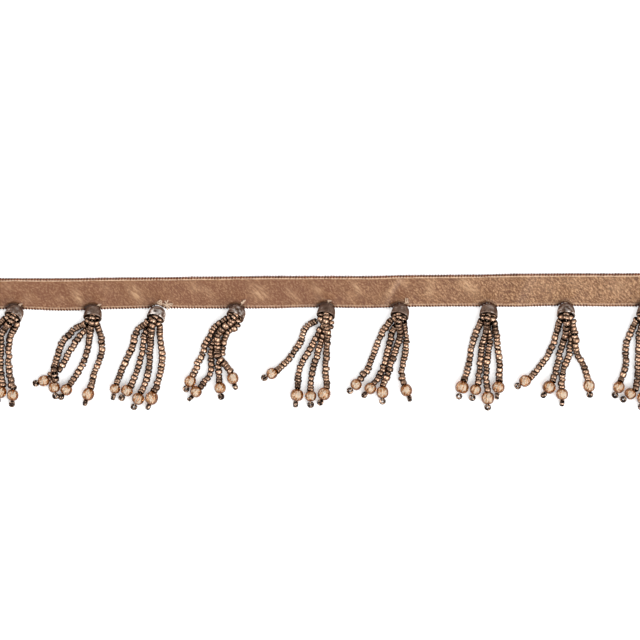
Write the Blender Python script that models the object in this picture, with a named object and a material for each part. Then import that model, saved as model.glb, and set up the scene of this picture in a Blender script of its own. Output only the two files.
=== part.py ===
"""A cut length of beaded fringe laid flat: a satin ribbon with nine tassels sewn along its lower edge.

Each tassel is a metal cap that holds four strings of seed beads. Each string ends in a glass drop bead,
kept on by a small stop bead. Metres, +X along the ribbon, +Y across it and away from the tassels, +Z up,
with the origin at the middle of the ribbon's underside.
"""

import math
from collections import namedtuple

import bmesh
import bpy
import numpy as np
from mathutils import Matrix, Vector

MM = 0.001
GAP = 0.3 * MM  # between separate pieces
MERGE = 0.001 * MM  # points closer than this are one
LINE_STEP = 0.5 * MM  # spacing of the points that a string's middle line is worked out at

RIBBON_THICK = 1.0 * MM
RIBBON_STATION = 4.0 * MM  # spacing of the points along the ribbon's edges
DRAW_IN = 1.1 * MM  # how far the stitches of one tassel draw the ribbon's lower edge in
DRAW_IN_REACH = 2.6 * MM  # half the length of edge that they draw in
DRAW_IN_STEPS = 3  # points of that edge on either side of its middle

CAP_RADIUS = 2.75 * MM
CAP_DEPTH = 4.2 * MM
CAP_WALL = 0.4 * MM
CAP_HOLE = 0.7 * MM  # radius of the hole in the crown
CAP_SIDES = 14
CAP_ANGLES = (90, 66, 42, 16)  # places of the dome's rings, in degrees from the crown round to the mouth
CAP_TILT = math.radians(30)  # the mouth looks up from the floor by this much
MOUTH_AHEAD = 1.4 * MM  # from the middle of the cap, seen from above, to the middle of its mouth
MOUTH_HEIGHT = 3.65 * MM

# The bound root of the strings: depths from the crown along the cap's axis, and its radius at each.
HUB_ROWS = ((1.2 * MM, 0.8 * MM), (2.7 * MM, 1.5 * MM), (5.0 * MM, 0.5 * MM))
HUB_SIDES = 8
THREAD_HALF = 0.25 * MM
THREAD_DEPTH = 1.6 * MM  # where the sewing thread leaves the bound root, from the crown
KNOT_BEHIND = 4.7 * MM  # from the middle of the mouth back to the sewing knot on the ribbon
KNOT_HALF_LENGTH = 0.5 * MM
KNOT_HALF_WIDTH = 0.7 * MM
KNOT_HALF_HEIGHT = 0.35 * MM
KNOT_PROFILE = ((1.0, 0.5), (0.4, 1.0), (-0.4, 1.0), (-1.0, 0.5))  # shares of its half length and size

STRING_HALF_WIDTH = 0.9 * MM
STRING_HALF_HEIGHT = 1.0 * MM
STRING_ROOT_HALF = 0.65 * MM
STRING_ROOT_DEPTH = 2.2 * MM  # where a string begins in the bound root, from the crown
STRING_ROOT_SHARE = 0.55  # how far out it begins, as a share of its seat's place in the mouth
STRING_GROWS = 4.0 * MM  # plan length over which a string comes to its full size
STRING_APART = 2.1 * MM  # between the middles of two strings, side by side or one on the other
STRING_PACKED = 4.0 * MM  # plan length from the mouth over which the strings open out to that
STRING_PACKED_SHARE = 0.4  # of that distance, at the mouth itself
STRING_SETTLES = 9.0 * MM  # plan length over which a string comes down from the mouth to the floor
STRING_SLOPE = 0.45  # steepest rise of a string where it climbs over another one
STRING_MEETS_DROP = 3.0 * MM  # plan length over which its end comes to the height of the drop's bore
STRING_END_GAP = 0.5 * MM  # from a string's end to its drop, with room for the angle between them
STRING_SECTIONS = 12
SEAT_OFFSET = 0.85 * MM  # from the mouth's middle to the middle of a string's seat
SEAT_DIRECTIONS = {"left": (-1, 0), "right": (1, 0), "top": (0, 1), "under": (0, -1)}
LIP_AHEAD = 1.2 * MM  # a string runs straight for this far out of the mouth
LIP_SPREAD = 1.2  # and is this much further to its side there
BOW_SHARES = (0.25, 0.5, 0.75)  # where along its reach a string's three bows are measured

DROP_BORE = 0.75 * MM
DROP_SIDES = 8
DROP_HALF_LENGTH = 0.86  # as a share of the drop's radius
DROP_PROFILE = ((0.80, 0.62), (1.0, 0.24))  # radius and half length of its facets' edges, as shares too
STOP_HALF = 0.9 * MM
STOP_HALF_LENGTH = 0.6 * MM
STOP_PROFILE = ((0.6, 1.0), (1.4, 1.0), (2.0, 0.6))  # shares of its half length and half size
STOP_SHOULDER = 0.75  # share of its half size at the end that meets the thread
STOP_BELOW = 0.3 * MM  # the stop bead hangs this much lower than the middle of its drop

# The ribbon's two edges at points along it, in millimetres: it is neither quite straight nor even.
EdgeRow = namedtuple("EdgeRow", "x upper lower")
EDGE_ROWS = (
    EdgeRow(-114, 4.8, -4.9),
    EdgeRow(-97, 4.7, -4.9),
    EdgeRow(-81, 4.6, -5.5),
    EdgeRow(-66, 4.7, -5.1),
    EdgeRow(-55, 4.7, -4.9),
    EdgeRow(-38, 4.8, -5.1),
    EdgeRow(-18, 4.9, -5.2),
    EdgeRow(-5, 4.8, -5.0),
    EdgeRow(11, 4.7, -5.3),
    EdgeRow(26, 4.9, -5.0),
    EdgeRow(44, 4.9, -5.0),
    EdgeRow(56, 5.1, -5.2),
    EdgeRow(69, 5.1, -5.0),
    EdgeRow(86, 5.0, -5.3),
    EdgeRow(114, 5.0, -5.3),
)

# A tassel: the place of its cap's middle, how far its mouth turns to the left, and its strings in the
# order in which they were laid down. A string leaves the mouth at its seat. Its drop lies at a distance
# (reach) and an angle from straight down (lean), and on the way the string swings to the right of the
# straight line by the three bows. tail is the way its last two beads point. Millimetres and degrees.
TasselRow = namedtuple("TasselRow", "x below turn strings")
StringRow = namedtuple("StringRow", "seat lean reach bow_1 bow_2 bow_3 drop tail")
TASSELS = (
    TasselRow(-96.1, 6.1, 27, (
        StringRow("under", -19, 26.9, -1.9, -2.2, -0.9, 3.7, -8),
        StringRow("left", -29, 24.4, -2.9, -2.2, -0.2, 3.6, -38),
        StringRow("right", -2, 24.9, -1.1, -1.8, -1.2, 3.5, -6),
        StringRow("top", -11, 24.3, -2.6, -2.7, -1.0, 3.7, -20),
    )),
    TasselRow(-72.3, 6.5, 6, (
        StringRow("under", -37, 25.2, 0.8, 0.8, 1.7, 3.3, -72),
        StringRow("right", -4, 24.4, 2.7, 3.1, 1.4, 3.6, -20),
        StringRow("left", -28.5, 25.2, -3.3, -4.5, -3.4, 3.5, 8),
        StringRow("top", -20, 24.4, 1.1, 2.3, 1.6, 3.5, -36),
    )),
    TasselRow(-52.9, 6.8, 18, (
        StringRow("under", -22, 24.8, -1.2, 0.0, 0.7, 3.6, -36),
        StringRow("left", -30, 25.9, -2.8, -1.6, -1.1, 3.2, -12),
        StringRow("right", -4, 25.4, 1.2, 2.4, 1.9, 3.8, -22),
        StringRow("top", -13, 26.2, -0.3, 0.7, 1.2, 3.7, -28),
    )),
    TasselRow(-28.6, 6.6, 28, (
        StringRow("under", -28, 26.8, -2.2, -1.7, 1.3, 3.5, -40),
        StringRow("right", -13, 23.2, -1.7, -2.1, -1.7, 3.4, 6),
        StringRow("left", -35, 25.0, -2.8, -2.1, -1.2, 3.4, -28),
        StringRow("top", -4, 19.7, -4.1, -5.8, -3.7, 3.5, 16),
    )),
    TasselRow(-1.3, 6.3, 12, (
        StringRow("under", -20, 26.8, 0.2, -1.1, -1.9, 3.9, -8),
        StringRow("right", -11, 26.0, 0.3, -0.2, -0.9, 3.4, 0),
        StringRow("left", -42, 25.0, -1.7, 0.1, 1.0, 3.4, -60),
        StringRow("top", -2, 24.9, 0.5, 0.3, 0.3, 3.8, -24),
    )),
    TasselRow(21.2, 6.6, 16, (
        StringRow("under", -22, 24.8, -0.1, 0.9, 1.8, 3.5, -42),
        StringRow("left", -32, 25.7, -1.5, -0.8, 0.5, 3.4, -44),
        StringRow("right", 4, 23.7, 1.2, 0.7, -0.9, 3.5, 22),
        StringRow("top", -13, 24.9, 1.5, 0.7, 0.1, 3.6, 0),
    )),
    TasselRow(48.1, 6.7, 8, (
        StringRow("under", -1, 26.1, 0.2, -0.2, -0.5, 3.8, 0),
        StringRow("left", -20, 24.2, -1.4, -1.3, -0.1, 4.0, -18),
        StringRow("right", 7, 23.0, 1.2, 1.4, 1.2, 3.7, -8),
        StringRow("top", -10, 23.9, 0.2, 0.0, 0.2, 3.4, -22),
    )),
    TasselRow(71.6, 6.7, 4, (
        StringRow("under", -3, 25.1, 1.8, 1.8, -0.2, 3.6, 0),
        StringRow("left", -31, 24.4, 0.6, 2.0, 1.6, 3.5, -54),
        StringRow("right", 17, 23.6, 0.4, -0.7, 0.3, 3.5, 6),
        StringRow("top", -13, 23.5, 1.3, 1.0, 1.1, 3.9, -34),
    )),
    TasselRow(95.9, 6.8, 15, (
        StringRow("under", -11, 25.4, -0.6, 0.2, 1.3, 3.5, -50),
        StringRow("left", -20, 24.4, -2.0, -2.1, 0.1, 3.4, -24),
        StringRow("right", 8, 24.5, 1.8, 1.8, 1.0, 3.5, 12),
        StringRow("top", -2, 26.3, 0.6, 0.3, 0.3, 3.7, -12),
    )),
)

Finish = namedtuple("Finish", "color roughness metallic")
FINISHES = {
    "ribbon": Finish((0.32, 0.17, 0.095), 0.45, 0.0),
    "cap": Finish((0.14, 0.11, 0.10), 0.30, 1.0),
    "string": Finish((0.36, 0.21, 0.13), 0.22, 0.8),
    "drop": Finish((0.90, 0.60, 0.38), 0.10, 0.0),
}


def clear_scene():
    for thing in list(bpy.data.objects):
        bpy.data.objects.remove(thing, do_unlink=True)


def material_of(name):
    """The finish of that name as a plain Principled material, made on first use."""
    if name in bpy.data.materials:
        return bpy.data.materials[name]
    finish = FINISHES[name]
    material = bpy.data.materials.new(name)
    material.use_nodes = True
    shader = material.node_tree.nodes["Principled BSDF"]
    shader.inputs["Base Color"].default_value = (*finish.color, 1)
    shader.inputs["Roughness"].default_value = finish.roughness
    shader.inputs["Metallic"].default_value = finish.metallic
    return material


def add_object(name, mesh_data, finish, parent=None):
    """A named object of the mesh, with its material, under its parent."""
    mesh = bpy.data.meshes.new(name)
    bmesh.ops.recalc_face_normals(mesh_data, faces=mesh_data.faces)
    mesh_data.to_mesh(mesh)
    mesh_data.free()
    mesh.materials.append(material_of(finish))
    thing = bpy.data.objects.new(name, mesh)
    bpy.context.scene.collection.objects.link(thing)
    thing.parent = parent
    return thing


def loft(rings):
    """A closed body through rings of the same number of points."""
    body = bmesh.new()
    rows = [[body.verts.new(point) for point in ring] for ring in rings]
    count = len(rows[0])
    for near, far in zip(rows, rows[1:]):
        for i in range(count):
            j = (i + 1) % count
            body.faces.new((near[i], near[j], far[j], far[i]))
    body.faces.new(rows[0])
    body.faces.new(reversed(rows[-1]))
    return body


def turned(outline, sides):
    """A closed body turned round Z from a closed outline of (radius, height) points."""
    body = bmesh.new()
    loop = [body.verts.new((radius, 0, height)) for radius, height in outline]
    edges = [body.edges.new(pair) for pair in zip(loop, loop[1:] + loop[:1])]
    bmesh.ops.spin(
        body, geom=loop + edges, cent=(0, 0, 0), axis=(0, 0, 1), angle=math.tau, steps=sides,
        use_duplicate=False, use_merge=True,
    )
    bmesh.ops.remove_doubles(body, verts=body.verts, dist=MERGE)
    return body


def smooth_line(points, step):
    """Points about step apart on a smooth curve through the given ones."""
    points = np.array(points, float)
    spans = np.linalg.norm(np.diff(points, axis=0), axis=1)
    at = np.concatenate([[0], np.cumsum(spans)])
    slopes = np.gradient(points, at, axis=0)
    line = [points[0]]
    for i, span in enumerate(spans):
        count = max(1, round(span / step))
        for k in range(1, count + 1):
            t = k / count
            line.append(
                (2 * t**3 - 3 * t**2 + 1) * points[i]
                + (3 * t**2 - 2 * t**3) * points[i + 1]
                + (t**3 - 2 * t**2 + t) * span * slopes[i]
                + (t**3 - t**2) * span * slopes[i + 1]
            )
    return np.array(line)


def lengths_along(line):
    """Plan length from the line's start to each of its points."""
    return np.concatenate([[0], np.cumsum(np.linalg.norm(np.diff(line[:, :2], axis=0), axis=1))])


def heading(degrees):
    """The direction in plan that is turned from straight down, with right as positive."""
    angle = math.radians(degrees)
    return np.array([math.sin(angle), -math.cos(angle)])


class Mouth:
    """The frame of a cap's mouth, seen from the point on the floor under the cap's middle."""

    def __init__(self, turn):
        ahead = heading(-turn)
        self.ahead = Vector((*ahead, 0))
        self.right = Vector((-ahead[1], ahead[0], 0))
        self.axis = self.ahead * math.cos(CAP_TILT) + Vector((0, 0, math.sin(CAP_TILT)))
        self.up = self.axis.cross(self.right)
        self.middle = self.ahead * MOUTH_AHEAD + Vector((0, 0, MOUTH_HEIGHT))

    def point(self, side, up, depth):
        """A place that is this far to the side, up, and from the crown's level along the axis."""
        return self.middle + self.right * side + self.up * up + self.axis * (depth - CAP_DEPTH)


def ribbon_edge(x, side):
    """The ribbon's edge at x before the stitches draw it in, on a smooth line through the rows."""
    places = [row.x * MM for row in EDGE_ROWS]
    values = [getattr(row, side) * MM for row in EDGE_ROWS]
    i = min(max(sum(place <= x for place in places) - 1, 0), len(places) - 2)
    t = (x - places[i]) / (places[i + 1] - places[i])
    return values[i] + (values[i + 1] - values[i]) * (1 - math.cos(math.pi * t)) / 2


def drawn_in(x):
    """How far the nearest tassel's stitches lift the lower edge at x."""
    away = min(abs(x - row.x * MM) for row in TASSELS)
    return DRAW_IN * math.cos(math.pi / 2 * min(away / DRAW_IN_REACH, 1)) ** 2


def make_ribbon():
    half = EDGE_ROWS[-1].x * MM
    count = 2 * round(half / RIBBON_STATION)
    stations = [half * (2 * i / count - 1) for i in range(count + 1)]
    for row in TASSELS:
        seat = row.x * MM
        stations = [x for x in stations if abs(x - seat) > DRAW_IN_REACH + GAP]
        steps = range(-DRAW_IN_STEPS, DRAW_IN_STEPS + 1)
        stations += [seat + DRAW_IN_REACH * k / DRAW_IN_STEPS for k in steps]
    rings = []
    for x in sorted(stations):
        upper = ribbon_edge(x, "upper")
        lower = ribbon_edge(x, "lower") + drawn_in(x)
        rings.append([(x, upper, 0), (x, lower, 0), (x, lower, RIBBON_THICK), (x, upper, RIBBON_THICK)])
    return add_object("ribbon", loft(rings), "ribbon")


def dome_outline(radius, depth):
    """The dome's points from the mouth back to the hole in its crown, as radius and height."""
    angles = [math.radians(degrees) for degrees in CAP_ANGLES]
    outline = [(radius * math.sin(angle), -depth * math.cos(angle)) for angle in angles]
    return outline[:-1] + [(CAP_HOLE, outline[-1][1])]


def make_cap(name, mouth, parent):
    """A hollow dome with a hole in its crown, its mouth at the local origin and its crown at -Z."""
    outside = dome_outline(CAP_RADIUS, CAP_DEPTH)
    inside = dome_outline(CAP_RADIUS - CAP_WALL, CAP_DEPTH - CAP_WALL)
    cap = add_object(name, turned(outside + inside[::-1], CAP_SIDES), "cap", parent)
    frame = Matrix((mouth.right, mouth.up, mouth.axis)).transposed().to_4x4()
    cap.matrix_local = Matrix.Translation(mouth.middle) @ frame
    return cap


def seat_place(row):
    """Where a string sits in the mouth: how far to the side and how far up."""
    return [SEAT_OFFSET * value for value in SEAT_DIRECTIONS[row.seat]]


def drop_half_length(row):
    return DROP_HALF_LENGTH * row.drop / 2 * MM


def drop_place(row):
    """The middle of the string's drop, which rests on one of its flats."""
    across, away = heading(row.lean) * row.reach * MM
    return Vector((across, away, row.drop / 2 * MM * math.cos(math.pi / DROP_SIDES)))


def plan_points(row, mouth):
    """The string's points in plan, from the mouth to where it meets its drop."""
    side, up = seat_place(row)
    straight = heading(row.lean)
    sideways = np.array([-straight[1], straight[0]])
    seat = mouth.point(side, up, CAP_DEPTH)
    lip = mouth.point(LIP_SPREAD * side, up, CAP_DEPTH + LIP_AHEAD)
    points = [np.array(seat.xy), np.array(lip.xy)]
    for share, bow in zip(BOW_SHARES, (row.bow_1, row.bow_2, row.bow_3)):
        points.append((straight * row.reach * share + sideways * bow) * MM)
    drop = straight * row.reach * MM
    points.append(drop - heading(row.tail) * (drop_half_length(row) + STRING_END_GAP))
    return points, seat.z


def settle(line, start_height, laid):
    """Heights of a string that comes down from the mouth and lies on the floor or over laid strings."""
    along = lengths_along(line)
    share = np.clip(along / STRING_SETTLES, 0, 1)
    rest = STRING_HALF_HEIGHT
    heights = rest + (start_height - rest) * (1 - share) ** 2 * (1 + 2 * share)
    opened = STRING_PACKED_SHARE + (1 - STRING_PACKED_SHARE) * along / STRING_PACKED
    apart = STRING_APART * np.clip(opened, 0, 1)[:, None]
    for other in laid:
        away = np.linalg.norm(line[:, None, :2] - other[None, :, :2], axis=2)
        lift = np.sqrt(np.clip(apart**2 - away**2, 0, None))
        carried = np.where(away < apart, other[None, :, 2] + lift, 0)
        heights = np.maximum(heights, carried.max(axis=1))
    climb = heights[None, :] - STRING_SLOPE * np.abs(along[:, None] - along[None, :])
    return climb.max(axis=1)


def string_line(row, mouth, laid):
    """The middle line of a string from the mouth to its drop, lying over the strings laid before it."""
    points, start_height = plan_points(row, mouth)
    line = smooth_line(points, LINE_STEP)
    heights = settle(line, start_height, laid)
    along = lengths_along(line)
    ending = np.clip((along - along[-1]) / STRING_MEETS_DROP + 1, 0, 1)
    heights = heights + (drop_place(row).z - heights) * ending**2
    return np.column_stack([line, heights])


def beaded_sections(row, mouth, line):
    """Sections of a string from the bound root along its line: centre, half width and half height."""
    side, up = (STRING_ROOT_SHARE * value for value in seat_place(row))
    sections = [(mouth.point(side, up, STRING_ROOT_DEPTH), STRING_ROOT_HALF, STRING_ROOT_HALF)]
    along = lengths_along(line)
    for k in range(STRING_SECTIONS + 1):
        place = along[-1] * k / STRING_SECTIONS
        centre = Vector([np.interp(place, along, line[:, i]) for i in range(3)])
        grown = min(1, place / STRING_GROWS)
        half_width = STRING_ROOT_HALF + (STRING_HALF_WIDTH - STRING_ROOT_HALF) * grown
        half_height = STRING_ROOT_HALF + (STRING_HALF_HEIGHT - STRING_ROOT_HALF) * grown
        sections.append((centre, half_width, half_height))
    return sections


def end_sections(row, start):
    """Sections of the thread that runs from a string's end through its drop, and of the stop bead."""
    drop = drop_place(row)
    tail = Vector((*heading(row.tail), 0))
    stop = drop + tail * (drop_half_length(row) + GAP)
    shoulder = STOP_HALF * STOP_SHOULDER
    sections = [(start, THREAD_HALF, THREAD_HALF), (stop, THREAD_HALF, THREAD_HALF), (stop, shoulder, shoulder)]
    hanging = stop - Vector((0, 0, STOP_BELOW))
    for share, size in STOP_PROFILE:
        sections.append((hanging + tail * STOP_HALF_LENGTH * share, STOP_HALF * size, STOP_HALF * size))
    return sections


def section_rings(sections):
    """Upright four-sided rings across the line of the sections."""
    rings = []
    for i, (centre, half_width, half_height) in enumerate(sections):
        before = next((s[0] for s in reversed(sections[:i]) if (s[0] - centre).xy.length > GAP), centre)
        after = next((s[0] for s in sections[i + 1:] if (s[0] - centre).xy.length > GAP), centre)
        along = (after - before).xy.normalized()
        side = Vector((along.y, -along.x, 0)) * half_width
        rise = Vector((0, 0, half_height))
        rings.append([centre + side - rise, centre + side + rise, centre - side + rise, centre - side - rise])
    return rings


def make_string(row, mouth, line):
    """The body of one string, of the thread through its drop and of its stop bead."""
    sections = beaded_sections(row, mouth, line)
    return loft(section_rings(sections + end_sections(row, sections[-1][0])))


def make_root(mouth):
    """The bound root in the cap and the sewing thread that runs from it to a knot on the ribbon."""
    corners = [math.tau * k / HUB_SIDES for k in range(HUB_SIDES)]
    rings = []
    for depth, radius in HUB_ROWS:
        rings.append([mouth.point(radius * math.cos(a), radius * math.sin(a), depth) for a in corners])
    hub = loft(rings)

    start = mouth.point(0, 0, THREAD_DEPTH)
    crown = mouth.point(0, 0, 0)
    sections = [(start, THREAD_HALF, THREAD_HALF), (crown, THREAD_HALF, THREAD_HALF)]
    knot = mouth.ahead * (MOUTH_AHEAD - KNOT_BEHIND)
    knot.z = RIBBON_THICK + GAP + KNOT_HALF_HEIGHT
    for share, size in KNOT_PROFILE:
        centre = knot + mouth.ahead * KNOT_HALF_LENGTH * share
        sections.append((centre, KNOT_HALF_WIDTH * size, KNOT_HALF_HEIGHT * size))
    return [hub, loft(section_rings(sections))]


def join(name, bodies, finish, parent):
    """One closed body from several that overlap."""
    whole = add_object(name, bodies[0], finish, parent)
    for i, body in enumerate(bodies[1:]):
        other = add_object(f"{name}_piece_{i}", body, finish, parent)
        other.hide_render = True
        other.display_type = "WIRE"
        union = whole.modifiers.new(f"with_{i}", "BOOLEAN")
        union.operation = "UNION"
        union.object = other
    return whole


def make_drop(name, row, parent):
    """A faceted glass bead with its bore along the string."""
    radius = row.drop / 2 * MM
    outline = [(DROP_BORE, drop_half_length(row))]
    outline += [(radius * out, radius * along) for out, along in DROP_PROFILE]
    outline += [(out, -along) for out, along in reversed(outline)]
    body = turned(outline, DROP_SIDES)
    flat_down = Matrix.Rotation(math.pi / DROP_SIDES, 4, "Z")
    bmesh.ops.transform(body, matrix=flat_down, verts=body.verts)
    drop = add_object(name, body, "drop", parent)
    lie_down = Matrix.Rotation(math.pi / 2, 4, "X")
    turn = Matrix.Rotation(math.radians(row.tail), 4, "Z")
    drop.matrix_local = Matrix.Translation(drop_place(row)) @ turn @ lie_down
    return drop


def make_tassel(number, row):
    seat = bpy.data.objects.new(f"seat_{number}", None)
    seat.location = (row.x * MM, -row.below * MM, 0)
    bpy.context.scene.collection.objects.link(seat)
    mouth = Mouth(row.turn)
    make_cap(f"cap_{number}", mouth, seat)
    bodies = make_root(mouth)
    laid = []
    for string in row.strings:
        line = string_line(string, mouth, laid)
        bodies.append(make_string(string, mouth, line))
        laid.append(line)
        make_drop(f"drop_{number}_{string.seat}", string, seat)
    join(f"tassel_{number}", bodies, "string", seat)


clear_scene()
make_ribbon()
for index, tassel_row in enumerate(TASSELS, start=1):
    make_tassel(index, tassel_row)
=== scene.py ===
"""A cut length of beaded fringe laid flat: satin ribbon, metal caps, strings of seed beads and glass drops.

The pieces come in the order in which the trim is put together. Metres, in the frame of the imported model:
+X along the ribbon, +Y across it and away from the tassels, +Z up from the floor.
"""

import math
import random
from collections import namedtuple

import bpy
import numpy as np
from mathutils import Matrix, Vector


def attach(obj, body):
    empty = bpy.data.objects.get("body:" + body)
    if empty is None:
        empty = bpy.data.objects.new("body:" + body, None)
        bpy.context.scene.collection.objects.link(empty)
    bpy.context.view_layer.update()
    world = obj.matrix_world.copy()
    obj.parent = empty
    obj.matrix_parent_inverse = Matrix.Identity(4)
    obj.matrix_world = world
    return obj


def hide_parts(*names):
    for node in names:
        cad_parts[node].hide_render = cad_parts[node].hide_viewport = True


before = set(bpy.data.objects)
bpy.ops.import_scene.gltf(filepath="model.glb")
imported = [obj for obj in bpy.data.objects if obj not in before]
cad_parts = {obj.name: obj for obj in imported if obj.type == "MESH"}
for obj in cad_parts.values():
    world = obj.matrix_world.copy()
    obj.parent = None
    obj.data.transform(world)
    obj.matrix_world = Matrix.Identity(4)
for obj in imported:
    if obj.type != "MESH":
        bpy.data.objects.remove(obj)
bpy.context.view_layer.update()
MM = 0.001

# The ribbon: brown polyester satin, 10 mm wide and about 0.35 mm thick, cut plainly at both ends. It lies
# flat on the floor in soft slanting waves, a little lifted and drawn in where each tassel is sewn to it.

CLOTH_THICK = 0.35 * MM
CLOTH_WIDTH = 10 * MM
CLOTH_CELL = 0.4 * MM
DRAW_IN = 1.1 * MM  # of the lower edge where a tassel is sewn on
DRAW_IN_REACH = 2.6 * MM
STITCH_LIFT = 0.75 * MM  # of the cloth at the same place
STITCH_LIFT_REACH = 3.2 * MM
STITCH_PIT = 0.7 * MM  # how far the stitches pull the cloth down round a cap's crown
STITCH_PIT_INNER = 3.1 * MM  # from the cap's middle, up to where they do so fully
STITCH_PIT_OUTER = 3.9 * MM  # and up to where they do so at all
STITCH_LEFT = 0.4 * MM  # how far the stitches lie to the left of the cap's middle
SELVEDGE_WIDTH = 0.25 * MM  # of the turned-back weft outside the cloth itself
PUCKER_RISE = 0.16 * MM
PUCKER_TURN = math.radians(42)  # of the two puckers that run from each tassel into the cloth, from +Y
PUCKER_HALF_WIDTH = 0.9 * MM
PUCKER_LENGTH = 4.5 * MM


def table(columns, *rows):
    """Rows of values under named columns."""
    row_kind = namedtuple("Row", columns)
    return [row_kind(*row) for row in rows]


# The ribbon's two edges at points along it, in millimetres.
EDGE_ROWS = table(
    "x upper lower",
    (-114, 4.8, -4.9),
    (-97, 4.7, -4.9),
    (-81, 4.6, -5.5),
    (-66, 4.7, -5.1),
    (-55, 4.7, -4.9),
    (-38, 4.8, -5.1),
    (-18, 4.9, -5.2),
    (-5, 4.8, -5.0),
    (11, 4.7, -5.3),
    (26, 4.9, -5.0),
    (44, 4.9, -5.0),
    (56, 5.1, -5.2),
    (69, 5.1, -5.0),
    (86, 5.0, -5.3),
    (114, 5.0, -5.3),
)

# Soft waves across the ribbon, in millimetres: the place of each on the ribbon's middle line, how far its
# upper end lies to the right of its lower end, its half width and its height.
WAVE_ROWS = table(
    "x lean width rise",
    (-108, -5, 3.5, 0.30),
    (-92, -7, 2.5, 0.24),
    (-79, -6, 1.8, 0.40),
    (-61, -6, 1.7, 0.48),
    (-38, -8, 3.0, 0.45),
    (-18, -7, 2.8, 0.35),
    (-4, -6, 1.4, 0.42),
    (8, -6, 2.2, 0.42),
    (18, 5, 1.6, 0.48),
    (29, -6, 2.6, 0.46),
    (43, -7, 3.0, 0.38),
    (58, 5, 2.6, 0.38),
    (81, -7, 3.2, 0.42),
    (104, -6, 3.2, 0.34),
)

# Soft slanting places where the satin's floats catch the light, painted into its colour as a lighter sheen:
# the middle of each, half its length and half its width in millimetres, how far its length turns from +X in
# degrees, and how much it shines.
SHINE_ROWS = table(
    "x y long wide turn strength",
    (-108, 0.5, 3.0, 1.5, -50, 0.6),
    (-98.4, 2.0, 1.5, 1.2, -45, 0.35),
    (-92.3, -1.7, 1.5, 1.2, -45, 0.45),
    (-82.2, -1.7, 1.2, 0.9, -45, 0.35),
    (-77.1, -1.1, 2.7, 1.0, -60, 0.9),
    (-68.5, 1.1, 2.1, 1.2, -45, 0.3),
    (-59.4, -0.2, 3.4, 1.4, -55, 0.85),
    (-41.4, 1.4, 2.7, 1.5, -50, 0.4),
    (-37.1, -0.2, 2.7, 1.1, -55, 0.4),
    (-21.8, -0.2, 3.0, 1.8, -45, 0.8),
    (-11.8, -0.8, 2.7, 0.9, -45, 0.5),
    (-3.9, 0.2, 2.4, 1.5, -50, 0.6),
    (8.0, 1.1, 2.4, 0.9, -55, 0.8),
    (6.5, -1.7, 1.5, 1.5, 0, 0.35),
    (18.4, 0.2, 3.0, 0.8, 58, 0.9),
    (22.4, 2.3, 1.8, 0.9, -50, 0.5),
    (30.3, 0.8, 2.7, 1.4, 90, 0.65),
    (41.9, 1.7, 3.7, 1.8, -45, 0.9),
    (66.0, 1.1, 3.7, 2.4, -40, 0.3),
    (75.1, 1.7, 3.7, 2.4, -40, 0.3),
    (87.3, 1.1, 3.7, 2.7, -40, 0.35),
    (104, 0.0, 3.0, 1.5, -50, 0.6),
)

# Where the tassels are sewn on, in millimetres and degrees: the middle of each cap along and below the
# ribbon's middle line, and how far its mouth turns to the left.
CAPS = table(
    "x below turn",
    (-96.1, 6.1, 27),
    (-72.3, 6.5, 6),
    (-52.9, 6.8, 18),
    (-28.6, 6.6, 28),
    (-1.3, 6.3, 12),
    (21.2, 6.6, 16),
    (48.1, 6.7, 8),
    (71.6, 6.7, 4),
    (95.9, 6.8, 15),
)


def ribbon_edge(x, side):
    """The ribbon's edge at x before the stitches draw it in, on a smooth line through the rows."""
    places = [row.x * MM for row in EDGE_ROWS]
    values = [getattr(row, side) * MM for row in EDGE_ROWS]
    i = min(max(sum(place <= x for place in places) - 1, 0), len(places) - 2)
    t = (x - places[i]) / (places[i + 1] - places[i])
    return values[i] + (values[i + 1] - values[i]) * (1 - math.cos(math.pi * t)) / 2


def drawn_in(x):
    """How far the nearest tassel's stitches draw the lower edge in at x."""
    away = min(abs(x - row.x * MM) for row in CAPS)
    return DRAW_IN * math.cos(math.pi / 2 * min(away / DRAW_IN_REACH, 1)) ** 2


def wave_place(wave, x, across):
    """How far a point lies to the right of a wave's crest, in half widths of the wave."""
    return (x - wave.x * MM - wave.lean * MM * (across - 0.5)) / (wave.width * MM)


def shine(x, y):
    """How much painted sheen the satin has at a point, from 0 to 1."""
    total = 0
    for row in SHINE_ROWS:
        turn = math.radians(row.turn)
        right, up = x / MM - row.x, y / MM - row.y
        along = right * math.cos(turn) + up * math.sin(turn)
        off = up * math.cos(turn) - right * math.sin(turn)
        total += row.strength * math.exp(-((along / row.long) ** 2) - (off / row.wide) ** 2)
    return min(total, 1)


def pinched(cap, x, y):
    """1 round the cap's crown, where its stitches pull the cloth down and its colour is darkened as painted
    shade, falling to 0 away from it.
    """
    away = math.hypot(x - cap.x * MM + STITCH_LEFT, y + cap.below * MM)
    return min(max((STITCH_PIT_OUTER - away) / (STITCH_PIT_OUTER - STITCH_PIT_INNER), 0), 1)


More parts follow.
